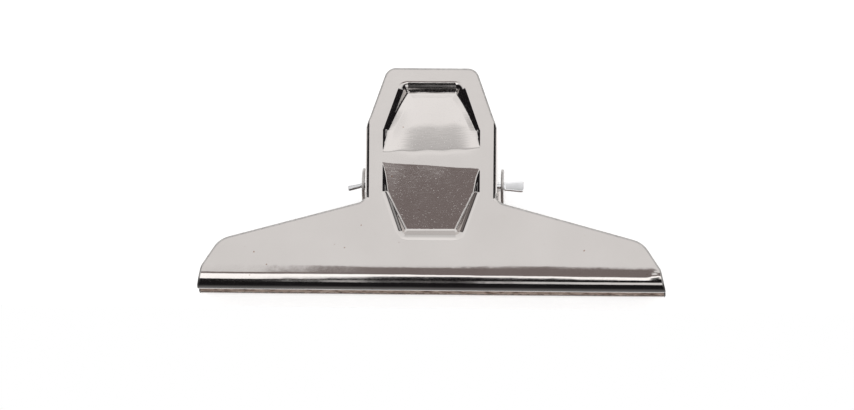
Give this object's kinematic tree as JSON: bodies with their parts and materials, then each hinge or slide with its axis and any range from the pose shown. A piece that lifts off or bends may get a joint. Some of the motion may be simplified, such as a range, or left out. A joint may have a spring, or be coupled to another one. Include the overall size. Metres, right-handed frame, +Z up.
{
  "type": "bulldog clip",
  "caption": "Wide bulldog clip: sheet-metal jaws with rolled lips, recessed handles, a pivot pin and a torsion spring that grips a stack of paper.",
  "frame": {"origin": "middle of the clip's footprint, on the surface that it lies on", "axes": "+X along the jaws, to the right seen from the front jaw with the handles up; +Y towards the handle tops; +Z up, from the rear jaw's flat back towards the front jaw"},
  "size_m": [0.125, 0.0606, 0.0392],
  "materials": {
    "nickel_plate": "bright nickel plate",
    "pin_steel": "zinc-bright drawn wire",
    "spring_steel": "drawn spring wire"
  },
  "bodies": {
    "rear_jaw": {"rear_jaw": "nickel_plate", "torsion_spring": "spring_steel"},
    "front_jaw": {"front_jaw": "nickel_plate"},
    "pivot_pin": {"pivot_pin": "pin_steel"}
  },
  "joints": [
    {"name": "jaw_hinge", "type": "hinge", "parent": "rear_jaw", "child": "front_jaw", "pos_m": [0, -0.00082, 0.01431], "axis": [-1, 0, 0], "range_deg": [0, 60], "stiffness_Nm_per_rad": 0.45, "springref_deg": -57.3, "deforming": ["torsion_spring"]},
    {"name": "pin_spin", "type": "hinge", "parent": "rear_jaw", "child": "pivot_pin", "pos_m": [0, -0.00082, 0.01431], "axis": [1, 0, 0], "continuous": true}
  ]
}
